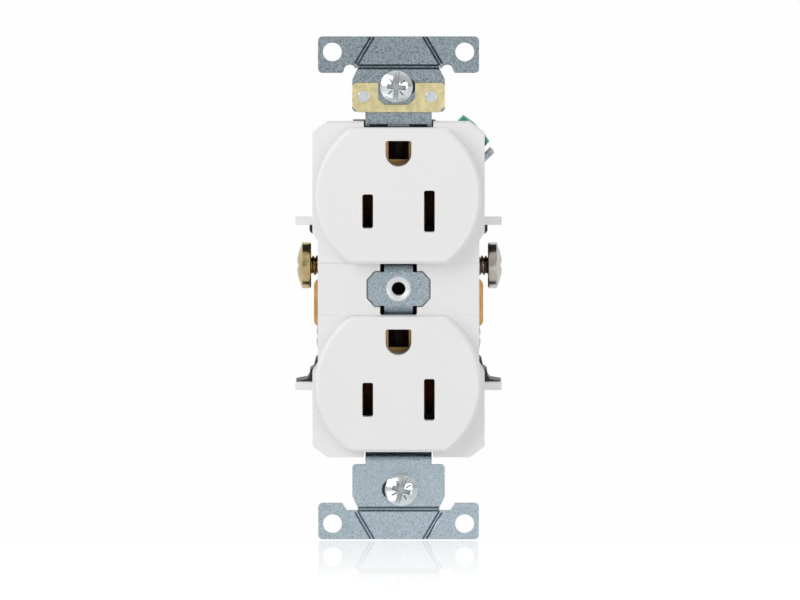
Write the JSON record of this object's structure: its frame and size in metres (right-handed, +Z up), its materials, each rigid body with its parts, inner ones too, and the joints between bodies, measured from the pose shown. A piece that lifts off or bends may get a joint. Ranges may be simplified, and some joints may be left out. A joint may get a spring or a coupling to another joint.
{
  "type": "duplex wall outlet",
  "caption": "Grounded duplex wall outlet: white cover with two raised faces, black rear body, zinc strap with break-off ears, side terminal screws and a green ground screw.",
  "frame": {"origin": "middle of the device on the wall plane, behind the plaster ears", "axes": "+Z up along the strap, the faces look along -Y, +X to the right seen from the front"},
  "size_m": [0.0427, 0.0312, 0.104],
  "materials": {
    "white_plastic": "satin moulded",
    "black_plastic": "satin moulded",
    "zinc_steel": "spangled zinc plate",
    "clip_brass": "dull",
    "contact_brass": "satin",
    "screw_brass": "bright plated",
    "screw_silver": "nickel plated",
    "screw_green": "green dyed plate",
    "screw_zinc": "bright zinc plate",
    "plate_steel": "zinc plate",
    "fibre": "pressed fibre"
  },
  "bodies": {
    "outlet": {"front_cover": "white_plastic", "back_body": "black_plastic", "mounting_strap": "zinc_steel", "ground_clip": "clip_brass", "clip_rivets": "screw_zinc", "hot_strip": "contact_brass", "neutral_strip": "contact_brass", "upper_ground_contact": "contact_brass", "lower_ground_contact": "contact_brass", "ground_contact_rivets": "screw_zinc", "assembly_screws": "screw_zinc"},
    "hot_plate_upper": {"hot_plate_upper": "plate_steel"},
    "hot_screw_upper": {"hot_screw_upper": "screw_brass"},
    "hot_plate_lower": {"hot_plate_lower": "plate_steel"},
    "hot_screw_lower": {"hot_screw_lower": "screw_brass"},
    "neutral_plate_upper": {"neutral_plate_upper": "plate_steel"},
    "neutral_screw_upper": {"neutral_screw_upper": "screw_silver"},
    "neutral_plate_lower": {"neutral_plate_lower": "plate_steel"},
    "neutral_screw_lower": {"neutral_screw_lower": "screw_silver"},
    "ground_plate": {"ground_plate": "plate_steel"},
    "ground_screw": {"ground_screw": "screw_green"},
    "upper_screw_retainer": {"upper_screw_retainer": "fibre"},
    "upper_mounting_screw": {"upper_mounting_screw": "screw_zinc"},
    "lower_screw_retainer": {"lower_screw_retainer": "fibre"},
    "lower_mounting_screw": {"lower_mounting_screw": "screw_zinc"}
  },
  "joints": [
    {"name": "hot_upper_travel", "type": "slide", "parent": "outlet", "child": "hot_plate_upper", "axis": [-1, 0, 0], "range_m": [-0.00397, 0]},
    {"name": "hot_upper_turn", "type": "hinge", "parent": "hot_plate_upper", "child": "hot_screw_upper", "pos_m": [-0.0141, 0.0094, 0.004], "axis": [-1, 0, 0], "range_deg": [-1801, 0]},
    {"name": "hot_lower_travel", "type": "slide", "parent": "outlet", "child": "hot_plate_lower", "axis": [-1, 0, 0], "range_m": [0, 0.00397]},
    {"name": "hot_lower_turn", "type": "hinge", "parent": "hot_plate_lower", "child": "hot_screw_lower", "pos_m": [-0.0141, 0.0094, -0.0108], "axis": [-1, 0, 0], "range_deg": [0, 1801]},
    {"name": "neutral_upper_travel", "type": "slide", "parent": "outlet", "child": "neutral_plate_upper", "axis": [1, 0, 0], "range_m": [-0.00437, 0]},
    {"name": "neutral_upper_turn", "type": "hinge", "parent": "neutral_plate_upper", "child": "neutral_screw_upper", "pos_m": [0.0141, 0.0094, 0.004], "axis": [1, 0, 0], "range_deg": [-1981, 0]},
    {"name": "neutral_lower_travel", "type": "slide", "parent": "outlet", "child": "neutral_plate_lower", "axis": [1, 0, 0], "range_m": [0, 0.00437]},
    {"name": "neutral_lower_turn", "type": "hinge", "parent": "neutral_plate_lower", "child": "neutral_screw_lower", "pos_m": [0.0141, 0.0094, -0.0108], "axis": [1, 0, 0], "range_deg": [0, 1981]},
    {"name": "ground_travel", "type": "slide", "parent": "outlet", "child": "ground_plate", "axis": [0.7071, 0, 0.7071], "range_m": [-0.00159, 0.00079]},
    {"name": "ground_turn", "type": "hinge", "parent": "ground_plate", "child": "ground_screw", "pos_m": [0.01301, 0.0084, 0.02942], "axis": [0.7071, 0, 0.7071], "range_deg": [-721, 361]},
    {"name": "upper_mounting_shift", "type": "slide", "parent": "outlet", "child": "upper_screw_retainer", "axis": [1, 0, 0], "range_m": [-0.0003, 0.0003]},
    {"name": "upper_mounting_turn", "type": "hinge", "parent": "upper_screw_retainer", "child": "upper_mounting_screw", "pos_m": [-0.00043, 0, 0.04167], "axis": [0, -1, 0], "continuous": true},
    {"name": "lower_mounting_shift", "type": "slide", "parent": "outlet", "child": "lower_screw_retainer", "axis": [1, 0, 0], "range_m": [-0.0022, 0.0011]},
    {"name": "lower_mounting_turn", "type": "hinge", "parent": "lower_screw_retainer", "child": "lower_mounting_screw", "pos_m": [0.00056, 0, -0.04167], "axis": [0, -1, 0], "continuous": true}
  ],
  "couplings": [
    {"joint": "hot_upper_turn", "follows": "hot_upper_travel", "rad_per_m": 7915.8},
    {"joint": "hot_lower_turn", "follows": "hot_lower_travel", "rad_per_m": 7915.8},
    {"joint": "neutral_upper_turn", "follows": "neutral_upper_travel", "rad_per_m": 7915.8},
    {"joint": "neutral_lower_turn", "follows": "neutral_lower_travel", "rad_per_m": 7915.8},
    {"joint": "ground_turn", "follows": "ground_travel", "rad_per_m": 7915.8}
  ]
}
